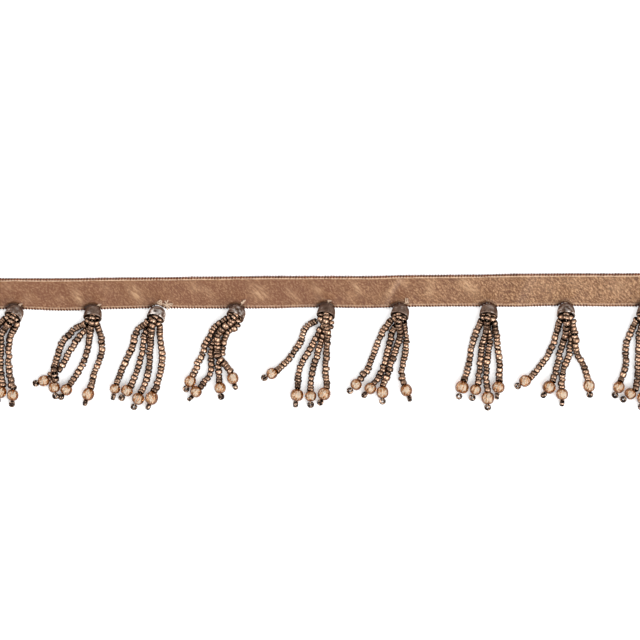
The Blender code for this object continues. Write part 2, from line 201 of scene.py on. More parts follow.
def ribbon_point(x, across):
    """A point of the cloth's middle layer. across runs from 0 at the lower edge to 1 at the upper one."""
    lower = ribbon_edge(x, "lower") + drawn_in(x) + SELVEDGE_WIDTH
    upper = ribbon_edge(x, "upper") - SELVEDGE_WIDTH
    y = lower + (upper - lower) * across
    height = CLOTH_THICK / 2
    for wave in WAVE_ROWS:
        height += wave.rise * MM * math.exp(-wave_place(wave, x, across) ** 2)
    for cap in CAPS:
        side, inward = x - cap.x * MM, y - lower
        height += STITCH_LIFT * math.exp(-(side * side + inward * inward) / STITCH_LIFT_REACH**2)
        height -= STITCH_PIT * pinched(cap, x, y)
        for turn in (-PUCKER_TURN, PUCKER_TURN):
            along = side * math.sin(turn) + inward * math.cos(turn)
            off = side * math.cos(turn) - inward * math.sin(turn)
            fading = math.exp(-((off / PUCKER_HALF_WIDTH) ** 2) - (along / PUCKER_LENGTH) ** 2)
            height += PUCKER_RISE * fading * min(max(along / PUCKER_HALF_WIDTH, 0), 1)
    return Vector((x, y, max(height, CLOTH_THICK / 2)))


def deselected():
    """Leaves nothing selected, so that the next operator acts on its own piece alone."""
    bpy.ops.object.select_all(action="DESELECT")


def chosen(piece):
    """Leaves this piece alone selected, for the next operator."""
    deselected()
    piece.select_set(True)
    bpy.context.view_layer.objects.active = piece


def finished(piece, name, finish, nodes=()):
    """Names a piece, gives it its finish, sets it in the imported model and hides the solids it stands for."""
    piece.name = name
    piece.data.name = name
    piece.data.materials.clear()
    piece.data.materials.append(finish.material)
    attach(piece, "root")
    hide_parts(*nodes)
    return piece


def modified(piece, kind, **settings):
    """Adds a modifier to the piece and applies it."""
    chosen(piece)
    modifier = piece.modifiers.new(kind.lower(), kind)
    for setting, value in settings.items():
        setattr(modifier, setting, value)
    bpy.ops.object.modifier_apply(modifier=modifier.name)


class Value:
    """A shader socket that can stand in a sum: each operator adds its Math node."""

    def __init__(self, finish, socket):
        self.finish = finish
        self.socket = socket

    def worked(self, operation, *terms):
        return self.finish.node("ShaderNodeMath", {"operation": operation}, dict(enumerate(terms)))

    def __add__(self, other):
        return self.worked("ADD", self, other)

    def __sub__(self, other):
        return self.worked("SUBTRACT", self, other)

    def __rsub__(self, other):
        return self.worked("SUBTRACT", other, self)

    def __mul__(self, other):
        return self.worked("MULTIPLY", self, other)

    __radd__ = __add__
    __rmul__ = __mul__


class Finish:
    """A material: its Principled shader with the constants given, and the nodes that vary it."""

    def __init__(self, name, constants):
        self.material = bpy.data.materials.new(name)
        self.material.use_nodes = True
        self.tree = self.material.node_tree
        self.shader = self.tree.nodes["Principled BSDF"]
        self.vary(constants)

    def fill(self, socket, value):
        if isinstance(value, Value):
            self.tree.links.new(value.socket, socket)
        else:
            socket.default_value = value

    def vary(self, sockets):
        """Sets or links sockets of the shader."""
        for name, value in sockets.items():
            self.fill(self.shader.inputs[name], value)

    def node(self, kind, settings, sockets, output=0):
        """Adds a node, makes its settings, fills its sockets and gives one of its outputs."""
        node = self.tree.nodes.new(kind)
        for setting, value in settings.items():
            setattr(node, setting, value)
        for name, value in sockets.items():
            self.fill(node.inputs[name], value)
        return Value(self, node.outputs[output])

    def place(self):
        return self.node("ShaderNodeTexCoord", {}, {}, "Object")

    def grain(self, degrees, size, detail=2.0):
        """Noise whose grains have this size along and across a direction turned from +X, and upwards."""
        sockets = {"Vector": self.place(), "Rotation": (0, 0, math.radians(degrees)), "Scale": size}
        place = self.node("ShaderNodeMapping", {"vector_type": "TEXTURE"}, sockets)
        return self.node("ShaderNodeTexNoise", {}, {"Vector": place, "Scale": 1.0, "Detail": detail})

    def spots(self, size, detail=2.0):
        """Noise whose grains are this large every way."""
        return self.grain(0, (size, size, size), detail)

    def own(self, name):
        """The value that each point of the mesh has of its own under this name, from 0 to 1."""
        return self.node("ShaderNodeAttribute", {"attribute_name": name}, {}, "Fac")

    def between(self, value, low, high):
        """0 where the value is low and 1 where it is high, with a smooth change between the two."""
        sockets = {"Value": value, "From Min": low, "From Max": high}
        return self.node("ShaderNodeMapRange", {"interpolation_type": "SMOOTHSTEP"}, sockets)

    def mix(self, share, first, second):
        """The first colour with this share of the second."""
        return self.node("ShaderNodeMix", {"data_type": "RGBA"}, {0: share, 6: first, 7: second}, 2)

    def bump(self, height, distance):
        return self.node("ShaderNodeBump", {}, {"Height": height, "Distance": distance}, "Normal")


def seen(red, green, blue):
    """A colour given as a screen shows it, from 0 to 255, as the shader wants it."""
    shares = [value / 255 for value in (red, green, blue)]
    return (*[((share + 0.055) / 1.055) ** 2.4 if share > 0.04 else share / 12.92 for share in shares], 1)


satin = Finish("brown_satin", {"Specular IOR Level": 0.4, "Sheen Weight": 0.03, "Sheen Roughness": 0.35})
across = satin.node("ShaderNodeSeparateXYZ", {}, {"Vector": satin.node("ShaderNodeUVMap", {}, {})}, "Y")
along = satin.node("ShaderNodeSeparateXYZ", {}, {"Vector": satin.place()}, "X")
streak = satin.own("streak")
pinch = satin.own("pinch")
floats = satin.grain(-48, (0.8 * MM, 0.24 * MM, MM), 1.0)
hatch = satin.grain(-42, (2.4 * MM, 0.3 * MM, MM), 1.0)
grit = satin.spots(0.3 * MM, 1.0)
patches = satin.grain(-50, (7 * MM, 3 * MM, MM))
weave = floats * 0.6 + grit * 0.4
rightwards = satin.between(along, -0.02, 0.08)
coarse = 0.4 + rightwards * 0.6
patchy = rightwards * 0.6 + satin.between(patches, 0.48, 0.66) * 0.25
base = satin.mix(patchy, seen(112, 68, 41), seen(127, 88, 56))
base = satin.mix(satin.between(weave, 0.53, 0.33) * coarse, base, seen(74, 42, 24))
base = satin.mix(satin.between(weave, 0.47, 0.69) * coarse, base, seen(194, 154, 114))
# Painted sheen: a lighter, hatched colour where the satin's floats catch the light.
base = satin.mix(streak * (0.2 + satin.between(hatch, 0.4, 0.64) * 0.6), base, seen(196, 158, 120))
off_edge = 0.5 - satin.node("ShaderNodeMath", {"operation": "ABSOLUTE"}, {0: across - 0.5})
scallops = satin.between(satin.grain(0, (0.5 * MM, 0.9 * MM, MM), 1.0), 0.3, 0.55)
# A thin ridge just inside each edge, where the selvedge steps down to the satin; its pale line is painted
# highlight.
ridge_painted_highlight = satin.between(off_edge, 0.034, 0.044) - satin.between(off_edge, 0.068 + scallops * 0.014, 0.092)
ridge_painted_highlight = ridge_painted_highlight * (0.4 + across * 0.5) * (0.4 + scallops * 0.6)
margin = satin.mix(across, seen(186, 138, 106), seen(166, 112, 80))
base = satin.mix(satin.between(off_edge, 0.04, 0.03), base, margin)
base = satin.mix(ridge_painted_highlight, base, seen(204, 172, 142))
satin.vary({
    # Painted shade: the cloth is darkened round each cap's crown, where it dips under the cap.
    "Base Color": satin.mix(pinch * (0.3 + grit * 1.1), base, seen(44, 26, 16)),
    "Roughness": 0.36 + weave * 0.16,
    "Normal": satin.bump(weave + ridge_painted_highlight, 0.07 * MM),
})

deselected()
half_length = EDGE_ROWS[-1].x * MM
cells_along, cells_across = round(2 * half_length / CLOTH_CELL), round(CLOTH_WIDTH / CLOTH_CELL)
bpy.ops.mesh.primitive_grid_add(x_subdivisions=cells_along, y_subdivisions=cells_across, size=1)
ribbon = bpy.context.object
streaks, painted_pinch_shades = [], []
for vertex in ribbon.data.vertices:
    x, share = vertex.co.x * 2 * half_length, vertex.co.y + 0.5
    vertex.co = ribbon_point(x, share)
    streaks.append(shine(vertex.co.x, vertex.co.y))
    painted_pinch_shades.append(max(pinched(cap, x, vertex.co.y) for cap in CAPS))
for name, values in (("streak", streaks), ("pinch", painted_pinch_shades)):
    ribbon.data.attributes.new(name, "FLOAT", "POINT").data.foreach_set("value", values)
modified(ribbon, "SOLIDIFY", thickness=CLOTH_THICK, offset=0)
bpy.ops.object.shade_smooth_by_angle(angle=math.radians(50))
finished(ribbon, "satin_ribbon", satin, ["ribbon"])


# The selvedges: along both sides of the ribbon the weft turns back in small firm loops, one each 0.885 mm,
# dyed a redder and darker brown than the satin. Each loop is one slanting grain of twisted yarn. Those of
# the upper edge are fuller, and those of the lower one are pulled tight and darker.

LOOP_PITCH = 0.885 * MM
LOOP_HALVES = {"lower": (0.29 * MM, 0.42 * MM, 0.32 * MM), "upper": (0.3 * MM, 0.5 * MM, 0.36 * MM)}
LOOP_TONES = {"lower": (0, 0.2), "upper": (0, 0.6)}
LOOP_SLANT = math.radians(24)
LOOP_SLANT_SPREAD = 8  # degrees to either side
LOOP_SIZE_SPREAD = (0.88, 1.12)
LOOP_OVER = 0.12 * MM  # how far the loops lie on the cloth's edge, and over its middle layer


def added(name, data):
    """Puts an object with this data into the scene."""
    piece = bpy.data.objects.new(name, data)
    bpy.context.scene.collection.objects.link(piece)
    return piece


def copies(model, places, tones=1.0, shares=1.0):
    """One mesh with a copy of the model at each place.

    tones is a value for each copy or for all, and shares how much of it each of the model's points takes.
    The finish reads the product as the point's tone.
    """
    points = np.array([vertex.co for vertex in model.data.vertices])
    faces = [list(face.vertices) for face in model.data.polygons]
    all_points, all_faces = [], []
    for i, place in enumerate(places):
        spot = np.array(place)
        all_points.append(points @ spot[:3, :3].T + spot[:3, 3])
        all_faces += [[corner + i * len(points) for corner in face] for face in faces]
    mesh = bpy.data.meshes.new(model.name)
    mesh.from_pydata(np.concatenate(all_points).tolist(), [], all_faces)
    tone = mesh.attributes.new("tone", "FLOAT", "POINT")
    products = np.outer(np.ones(len(places)) * tones, np.ones(len(points)) * shares)
    tone.data.foreach_set("value", products.ravel())
    smooth = [face.use_smooth for face in model.data.polygons]
    mesh.polygons.foreach_set("use_smooth", smooth * len(places))
    return added(model.name, mesh)


selvedge_yarn = Finish("selvedge_yarn", {"Roughness": 0.7, "Specular IOR Level": 0.08})
fibre = selvedge_yarn.grain(24, (0.4 * MM, 0.09 * MM, 0.3 * MM))
base = selvedge_yarn.mix(selvedge_yarn.own("tone"), seen(48, 17, 7), seen(112, 54, 27))
base = selvedge_yarn.mix(selvedge_yarn.between(fibre, 0.5, 0.8) * 0.4, base, seen(160, 102, 66))
selvedge_yarn.vary({"Base Color": base, "Normal": selvedge_yarn.bump(fibre, 0.03 * MM)})

deselected()
bpy.ops.mesh.primitive_uv_sphere_add(segments=8, ring_count=6, radius=1)
loop_model = bpy.context.object
bpy.ops.object.shade_smooth()
for side, edge_share in (("lower", 0), ("upper", 1)):
    dice = random.Random(side)
    outwards = Vector((0, 2 * edge_share - 1, 0))
    spots = []
    for k in range(1, round(2 * half_length / LOOP_PITCH)):
        x = k * LOOP_PITCH - half_length
        middle = ribbon_point(x, edge_share) - outwards * LOOP_OVER + Vector((0, 0, LOOP_OVER))
        spread = math.radians(dice.uniform(-LOOP_SLANT_SPREAD, LOOP_SLANT_SPREAD))
        turn = LOOP_SLANT * (1 - 2 * edge_share) + spread
        size = [half * dice.uniform(*LOOP_SIZE_SPREAD) for half in LOOP_HALVES[side]]
        middle.z = max(middle.z, size[2])
        facing = Matrix.Rotation(turn, 4, "Z")
        spots.append(Matrix.Translation(middle) @ facing @ Matrix.Diagonal((*size, 1)))
    tones = [dice.uniform(*LOOP_TONES[side]) for _ in spots]
    loops = copies(loop_model, spots, tones)
    finished(loops, f"selvedge_{side}", selvedge_yarn)
bpy.data.objects.remove(loop_model)


# The caps: small domes spun from thin brass and plated in dark pewter, with a rolled rim at the mouth and a
# hole in the crown. The plating is rubbed brighter near the rim, and its pale patches are partly painted
# highlight. Each cap leans back, its mouth raised.

CAP_DEPTH = 4.2 * MM
CAP_TILT = math.radians(30)
MOUTH_AHEAD = 1.4 * MM
MOUTH_HEIGHT = 3.65 * MM
CAP_SIDES = 40
CAP_WEAR_AT_MOUTH = 1.2  # share of its shine that a cap has there, though never more than 1
CAP_WEAR_FADES = 3.6 * MM  # length towards the crown over which that share falls by 1
CAP_WEAR_LEAST = 0.1
# Each cap's pale mottle is rubbed plating in part and painted highlight in part, stronger on caps that catch
# the light.
CAP_SHINE = (0.6, 0.3, 1.5, 0.9, 0.0, 0.2, 0.2, 0.9, 0.25)  # how bright and mottled each cap is
WELD = 0.001 * MM
# Radius and height over the mouth, in millimetres, from the crown's hole down the outside, round the rolled
# rim and back up the inside.
CAP_PROFILE = (
    (0.70, -4.10), (1.20, -4.00), (1.80, -3.72), (2.28, -3.20), (2.58, -2.50), (2.72, -1.75), (2.76, -1.05),
    (2.76, -0.66), (2.83, -0.54), (2.85, -0.36), (2.79, -0.20), (2.66, -0.14), (2.50, -0.20), (2.42, -0.34),
    (2.38, -0.70), (2.33, -1.50), (2.15, -2.40), (1.78, -3.12), (1.20, -3.58), (0.70, -3.72),
)


def heading(degrees):
    """The direction in plan that is turned from straight down, with right as positive."""
    angle = math.radians(degrees)
    return np.array([math.sin(angle), -math.cos(angle)])


class Mouth:
    """The frame of a cap's mouth, seen from the point on the floor under the cap's middle."""

    def __init__(self, turn):
        ahead = heading(-turn)
        self.ahead = Vector((*ahead, 0))
        self.right = Vector((-ahead[1], ahead[0], 0))
        self.axis = self.ahead * math.cos(CAP_TILT) + Vector((0, 0, math.sin(CAP_TILT)))
        self.up = self.axis.cross(self.right)
        self.middle = self.ahead * MOUTH_AHEAD + Vector((0, 0, MOUTH_HEIGHT))

    def point(self, side, up, depth):
        """A place that is this far to the side, up, and from the crown's level along the axis."""
        return self.middle + self.right * side + self.up * up + self.axis * (depth - CAP_DEPTH)

    def place(self):
        """The matrix that seats a cap whose mouth is at the origin and whose crown is at -Z."""
        facing = Matrix((self.right, self.up, self.axis)).transposed().to_4x4()
        return Matrix.Translation(self.middle) @ facing


def cap_seat(cap):
    return Vector((cap.x * MM, -cap.below * MM, 0))


def turned_model(profile, sides):
    """A round piece turned as on a lathe: a circle extruded through the rows of a profile that closes."""
    deselected()
    radius, height = profile[0]
    bpy.ops.mesh.primitive_circle_add(vertices=sides, radius=radius, location=(0, 0, height))
    bpy.ops.object.transform_apply()
    bpy.ops.object.mode_set(mode="EDIT")
    bpy.ops.mesh.select_all(action="SELECT")
    for next_radius, next_height in [*profile[1:], profile[0]]:
        bpy.ops.mesh.extrude_region_move(TRANSFORM_OT_translate={"value": (0, 0, next_height - height)})
        share = next_radius / radius
        bpy.ops.transform.resize(value=(share, share, 1), center_override=(0, 0, 0))
        radius, height = next_radius, next_height
    bpy.ops.mesh.select_all(action="SELECT")
    bpy.ops.mesh.remove_doubles(threshold=WELD)
    bpy.ops.mesh.normals_make_consistent(inside=False)
    bpy.ops.object.mode_set(mode="OBJECT")
    return bpy.context.object


pewter = Finish("dark_pewter_plate", {"Metallic": 0.9, "Specular Tint": seen(150, 130, 118)})
mottle = pewter.spots(1.1 * MM, 4.0)
cloud = pewter.spots(5 * MM)
scratches = pewter.grain(40, (1.6 * MM, 0.12 * MM, 0.5 * MM))
tone = pewter.own("tone")
base = pewter.mix(pewter.between(cloud, 0.35, 0.65), seen(104, 82, 70), seen(130, 108, 95))
# Pale patches: rubbed plating, and painted highlight where the cap catches the light.
rubbed_and_painted_highlight = pewter.between(mottle, 0.52 - tone * 0.1, 0.7) * (0.15 + tone * 0.85)
base = pewter.mix(rubbed_and_painted_highlight, base, seen(228, 218, 210))
base = pewter.mix(pewter.between(mottle, 0.46, 0.3) * 0.6, base, seen(56, 42, 35))
pewter.vary({
    "Base Color": base,
    "Roughness": 0.4 - tone * 0.14 + mottle * 0.12 + scratches * 0.06,
    "Normal": pewter.bump(mottle * 0.8 + scratches * 0.2, 0.04 * MM),
})

cap_model = turned_model([(radius * MM, height * MM) for radius, height in CAP_PROFILE], CAP_SIDES)
bpy.ops.object.shade_smooth_by_angle(angle=math.radians(60))
worn = [CAP_WEAR_AT_MOUTH + vertex.co.z / CAP_WEAR_FADES for vertex in cap_model.data.vertices]
worn = [min(max(share, CAP_WEAR_LEAST), 1) for share in worn]
for number, (cap, polish) in enumerate(zip(CAPS, CAP_SHINE), start=1):
    spot = Matrix.Translation(cap_seat(cap)) @ Mouth(cap.turn).place()
    dome = copies(cap_model, [spot], polish, worn)
    finished(dome, f"bead_cap_{number}", pewter, [f"cap_{number}"])
bpy.data.objects.remove(cap_model)


# The strings: four to a tassel, each about twenty small glass seed beads with a bronze lustre on one strand
# of thread. The beads are uneven in length and width, as cheap ones are, and lie a little crooked.

STRING_HALF_HEIGHT = 1.0 * MM
STRING_APART = 2.1 * MM  # between the middles of two strings that lie over one another
STRING_PACKED_SHARE = 0.4  # of that distance which they have in the mouth
STRING_PACKED = 4.0 * MM  # along a string, from the mouth to where they no longer sink into each other
STRING_SETTLES = 9.0 * MM  # along a string, from the mouth to the floor
STRING_SLOPE = 0.45  # of a string that climbs over another
STRING_MEETS_DROP = 3.0 * MM  # along a string's end, where it comes to the height of its drop
STRING_END_GAP = 0.5 * MM  # from there to the drop
SEAT_OFFSET = 0.85 * MM  # of each string's seat from the mouth's middle
SEAT_DIRECTIONS = {"left": (-1, 0), "right": (1, 0), "top": (0, 1), "under": (0, -1)}
LIP_AHEAD = 1.2 * MM  # from the mouth to where a string has passed its rim
LIP_SPREAD = 1.2  # how far from the axis it is there, as a share of its seat's offset
BOW_SHARES = (0.25, 0.5, 0.75)
LINE_STEP = 0.5 * MM
DROP_SIDES = 8
DROP_BELT = 1.06  # to the corners of a drop's belt, as a share of its radius, as is half its length
DROP_HALF_LENGTH = 0.86
DROP_ROLL = math.radians(16)  # of the facet on top, to the right of the way the drop's string runs

BEAD_LENGTHS = (0.7 * MM, 1.9 * MM, 1.05 * MM)  # shortest, longest and most common
BEAD_RADII = (0.9 * MM, 1.22 * MM, 1.09 * MM)
FIRST_BEAD_SEAT = 1.36 * MM  # from the mouth's middle to the middle of each string's first bead
FIRST_BEAD_DEPTH = 3.5 * MM  # of that bead from the cap's crown
FIRST_BEAD_CLEAR = 1.2 * MM  # of its string's line, which the way to the first bead stands in for
BEAD_TONES = (0.26, 1)
# Painted light: the beads that show in the cap's mouth are kept light, so that they look lit in its shade.
FIRST_BEAD_PAINTED_LIGHT = 0.8  # or more, for the two beads of each string that show in the cap's mouth
BEAD_TILT = math.radians(12)
BEAD_OFF_LINE = 0.12 * MM  # how far a bead lies off the line of its string, most of the time less
BEAD_SIDES = 10
# Radius and height as shares of the bead's radius and length.
BEAD_PROFILE = ((0.34, -0.46), (0.80, -0.49), (1.00, -0.28), (1.00, 0.28), (0.80, 0.49), (0.34, 0.46))
# Each bead's ends are darkened: thinner lustre there, and painted shade in the gaps between beads.
BEAD_LUSTRE_FROM = 0.9  # share of the radius outside which the lustre is full, for the ends are left dark
BEAD_END_LUSTRE_AND_SHADE = 0.03
CAP_BORE = 2.36 * MM
SETTLING_ROUNDS = 60
SINK = 0.02 * MM  # of each bead in one round of settling, before what it lies on holds it up
PUSH_SHARE = 0.45  # of their overlap by which two beads each give way in a round
PULL_SHARE = 0.4  # of the gap between them by which neighbours on a string each close up in a round
ON_AXIS = 1e-9  # added to distances from a cap's axis, which may be 0
BEAD_CLEAR = 0.1 * MM  # under each bead, for its corners

# The strings of each tassel in the order in which they were laid down, in millimetres and degrees. A string
# leaves the mouth at its seat. Its drop lies at a distance (reach) and an angle from straight down (lean),
# and on the way the string swings to the right of the straight line by the three bows. tail is the way its
# end points, and stop how far the bead behind the drop is rolled from lying with its hole up.
STRING_COLUMNS = "seat lean reach bow_1 bow_2 bow_3 drop tail stop"
STRINGS = [table(STRING_COLUMNS, *rows) for rows in (
    (
        ("under", -19, 26.9, -1.9, -2.2, -0.9, 3.7, -8, 30),
        ("left", -29, 24.4, -2.9, -2.2, -0.2, 3.6, -38, 80),
        ("right", -2, 24.9, -1.1, -1.8, -1.2, 3.5, -6, 55),
        ("top", -11, 24.3, -2.6, -2.7, -1.0, 3.7, -20, 10),
    ),
    (
        ("under", -37, 25.2, 0.8, 0.8, 1.7, 3.3, -72, 30),
        ("right", -4, 24.4, 2.7, 3.1, 1.4, 3.6, -20, 85),
        ("left", -28.5, 25.2, -2.8, -4.2, -2.9, 3.5, 8, 20),
        ("top", -20, 24.4, 1.1, 2.3, 1.6, 3.5, -36, 50),
    ),
    (
        ("under", -22, 24.8, -1.2, 0.0, 0.7, 3.6, -36, 40),
        ("left", -30, 25.9, -2.8, -1.6, -1.1, 3.2, -12, 85),
        ("right", -4, 25.4, 1.2, 2.4, 1.9, 3.8, -22, 75),
        ("top", -13, 26.2, -0.3, 0.7, 1.2, 3.7, -28, 10),
    ),
    (
        ("under", -28, 26.8, -2.2, -1.7, 1.3, 3.5, -40, 90),
        ("right", -13, 23.2, -1.7, -2.1, -1.7, 3.4, 6, 20),
        ("left", -35, 25.0, -2.8, -2.1, -1.2, 3.4, -28, 15),
        ("top", -4, 19.7, -4.1, -5.8, -3.7, 3.5, 16, 90),
    ),
    (
        ("under", -20, 26.8, 0.2, -1.1, -1.9, 3.9, -8, 80),
        ("right", -11, 26.0, 0.3, -0.2, -0.9, 3.4, 0, 0),
        ("left", -42, 25.0, -1.7, 0.1, 1.0, 3.4, -60, 25),
        ("top", -2, 24.9, 0.5, 0.3, 0.3, 3.8, -24, 65),
    ),
    (
        ("under", -22, 24.8, -0.1, 0.9, 1.8, 3.5, -42, 85),
        ("left", -32, 25.7, -1.5, -0.8, 0.5, 3.4, -44, 0),
        ("right", 4, 23.7, 1.2, 0.7, -0.9, 3.5, 22, 80),
        ("top", -13, 24.9, 1.5, 0.7, 0.1, 3.6, 0, 5),
    ),
    (
        ("under", -1, 26.1, 0.2, -0.2, -0.5, 3.8, 0, 18),
        ("left", -20, 24.2, -1.4, -1.3, -0.1, 4.0, -18, 0),
        ("right", 7, 23.0, 1.2, 1.4, 1.2, 3.7, -8, 85),
        ("top", -10, 23.9, 0.2, 0.0, 0.2, 3.4, -22, 12),
    ),
    (
        ("under", -3, 25.1, 1.8, 1.8, -0.2, 3.6, 0, 90),
        ("left", -31, 24.4, 0.6, 2.0, 1.6, 3.5, -54, 20),
        ("right", 17, 23.6, 0.4, -0.7, 0.3, 3.5, 6, 35),
        ("top", -13, 23.5, 1.3, 1.0, 1.1, 3.9, -34, 70),
    ),
    (
        ("under", -11, 25.4, -0.6, 0.2, 1.3, 3.5, -50, 5),
        ("left", -20, 24.4, -2.0, -2.1, 0.1, 3.4, -24, 15),
        ("right", 8, 24.5, 1.8, 1.8, 1.0, 3.5, 12, 60),
        ("top", -2, 26.3, 0.6, 0.3, 0.3, 3.7, -12, 25),
    ),
)]


def smooth_line(points, step):
    """Points about step apart on a smooth curve through the given ones."""
    points = np.array(points, float)
    spans = np.linalg.norm(np.diff(points, axis=0), axis=1)
    at = np.concatenate([[0], np.cumsum(spans)])
    slopes = np.gradient(points, at, axis=0)
    line = [points[0]]
    for i, span in enumerate(spans):
        count = max(1, round(span / step))
        for k in range(1, count + 1):
            t = k / count
            line.append(
                (2 * t**3 - 3 * t**2 + 1) * points[i]
                + (3 * t**2 - 2 * t**3) * points[i + 1]
                + (t**3 - 2 * t**2 + t) * span * slopes[i]
                + (t**3 - t**2) * span * slopes[i + 1]
            )
    return np.array(line)


def lengths_along(line):
    """Length from the line's start to each of its points, in as many dimensions as it has."""
    return np.concatenate([[0], np.cumsum(np.linalg.norm(np.diff(line, axis=0), axis=1))])


def drop_half_length(row):
    return DROP_HALF_LENGTH * row.drop / 2 * MM


def drop_place(row):
    """The middle of the string's drop, which rests on an edge of its lowest facet."""
    across, away = heading(row.lean) * row.reach * MM
    return Vector((across, away, row.drop / 2 * MM * DROP_BELT * math.cos(math.pi / DROP_SIDES - DROP_ROLL)))


def plan_points(row, mouth):
    """The string's points in plan, from the mouth to where it meets its drop."""
    side, up = (SEAT_OFFSET * value for value in SEAT_DIRECTIONS[row.seat])
    straight = heading(row.lean)
    sideways = np.array([-straight[1], straight[0]])
    seat = mouth.point(side, up, CAP_DEPTH)
    lip = mouth.point(LIP_SPREAD * side, up, CAP_DEPTH + LIP_AHEAD)
    points = [np.array(seat.xy), np.array(lip.xy)]
    for share, bow in zip(BOW_SHARES, (row.bow_1, row.bow_2, row.bow_3)):
        points.append((straight * row.reach * share + sideways * bow) * MM)
    drop = straight * row.reach * MM
    points.append(drop - heading(row.tail) * (drop_half_length(row) + STRING_END_GAP))
    return points, seat.z


def settle(line, start_height, laid):
    """Heights of a string that comes down from the mouth and lies on the floor or over laid strings."""
    along = lengths_along(line)
    share = np.clip(along / STRING_SETTLES, 0, 1)
    rest = STRING_HALF_HEIGHT
    heights = rest + (start_height - rest) * (1 - share) ** 2 * (1 + 2 * share)
    opened = STRING_PACKED_SHARE + (1 - STRING_PACKED_SHARE) * along / STRING_PACKED
    apart = STRING_APART * np.clip(opened, 0, 1)[:, None]
    for other in laid:
        away = np.linalg.norm(line[:, None] - other[None, :, :2], axis=2)
        lift = np.sqrt(np.clip(apart**2 - away**2, 0, None))
        carried = np.where(away < apart, other[None, :, 2] + lift, 0)
        heights = np.maximum(heights, carried.max(axis=1))
    climb = heights[None, :] - STRING_SLOPE * np.abs(along[:, None] - along[None, :])
    return climb.max(axis=1)


def string_line(row, mouth, laid):
    """The middle line of a string from the mouth to its drop, lying over the strings laid before it."""
    points, start_height = plan_points(row, mouth)
    line = smooth_line(points, LINE_STEP)
    heights = settle(line, start_height, laid)
    along = lengths_along(line)
    ending = np.clip((along - along[-1]) / STRING_MEETS_DROP + 1, 0, 1)
    heights = heights + (drop_place(row).z - heights) * ending**2
    return np.column_stack([line, heights])


def string_beads(row, mouth, line, dice):
    """The beads that fill a string: their middles, lengths and radii."""
    side, up = (FIRST_BEAD_SEAT * value for value in SEAT_DIRECTIONS[row.seat])
    first = mouth.point(side, up, FIRST_BEAD_DEPTH)
    last = drop_place(row) - Vector((*heading(row.tail), 0)) * drop_half_length(row)
    path = np.vstack([first, line[lengths_along(line) > FIRST_BEAD_CLEAR], last])
    along = lengths_along(path)
    lengths = []
    while sum(lengths) < along[-1]:
        lengths.append(dice.triangular(*BEAD_LENGTHS))
    lengths = np.array(lengths) * along[-1] / sum(lengths)
    middles = np.cumsum(lengths) - lengths / 2
    centres = np.column_stack([np.interp(middles, along, path[:, i]) for i in range(3)])
    centres += [[dice.gauss(0, BEAD_OFF_LINE) for _ in range(3)] for _ in lengths]
    radii = np.array([dice.triangular(*BEAD_RADII) for _ in lengths])
    return centres, lengths, radii


def settle_beads(centres, lengths, radii, owners, mouth):
    """Lets the beads of one tassel sink until they lie on the floor, on each other and inside the cap."""
    linked = np.flatnonzero(owners[:-1] == owners[1:])
    reach = (lengths[linked] + lengths[linked + 1]) / 2
    ends = np.flatnonzero(np.diff(owners, prepend=-1, append=-1) != 0)
    held = sorted({*ends[:-1], *(ends[1:] - 1)})
    anchors = centres[held].copy()
    axis, middle = np.array(mouth.axis), np.array(mouth.middle)
    strangers = owners[:, None] != owners[None]
    for _ in range(SETTLING_ROUNDS):
        centres[:, 2] -= SINK
        apart = centres[:, None] - centres[None]
        distance = np.linalg.norm(apart, axis=2) + np.eye(len(centres))
        overlap = np.clip(radii[:, None] + radii[None] - distance, 0, None) * strangers
        centres += (apart * (overlap / distance)[:, :, None]).sum(axis=1) * PUSH_SHARE
        step = centres[linked + 1] - centres[linked]
        size = np.linalg.norm(step, axis=1, keepdims=True)
        pull = step / size * (size - reach[:, None]) * PULL_SHARE
        centres[linked] += pull
        centres[linked + 1] -= pull
        out = (centres - middle) @ axis
        radial = centres - middle - out[:, None] * axis
        spread = np.linalg.norm(radial, axis=1) + ON_AXIS
        room = np.where(out < radii, (CAP_BORE - radii) / spread, 1)
        centres += radial * (np.minimum(room, 1) - 1)[:, None]
        centres[:, 2] = np.maximum(centres[:, 2], radii + BEAD_CLEAR)
        centres[held] = anchors
    return centres


def any_way(dice):
    """A vector that points any way at random."""
    return Vector((dice.gauss(0, 1), dice.gauss(0, 1), dice.gauss(0, 1)))


def turned_to(direction):
    """The matrix that turns +Z this way."""
    return direction.to_track_quat("Z", "Y").to_matrix().to_4x4()


def bead_place(centre, axis, radius, length, dice):
    """The matrix of a bead threaded along the axis, slightly crooked and turned at random about it."""
    crooked = any_way(dice) * math.tan(BEAD_TILT)
    facing = turned_to(Vector(axis).normalized() + crooked / math.sqrt(3))
    spin = Matrix.Rotation(dice.uniform(0, math.tau), 4, "Z")
    return Matrix.Translation(centre) @ facing @ spin @ Matrix.Diagonal((radius, radius, length, 1))


bronze = Finish("bronze_lustre_glass", {
    "Metallic": 0.85, "Specular Tint": seen(132, 90, 66), "Coat Weight": 0.1, "Coat Roughness": 0.05,
})
film = bronze.spots(0.8 * MM)
tone = bronze.own("tone")
base = bronze.mix(tone, seen(26, 12, 5), seen(190, 150, 122))
bronze.vary({
    "Base Color": bronze.mix(bronze.between(film, 0.47, 0.7) * tone * 0.8, base, seen(232, 200, 174)),
    "Roughness": 0.1 + film * 0.2,
    "Normal": bronze.bump(film, 0.08 * MM),
})

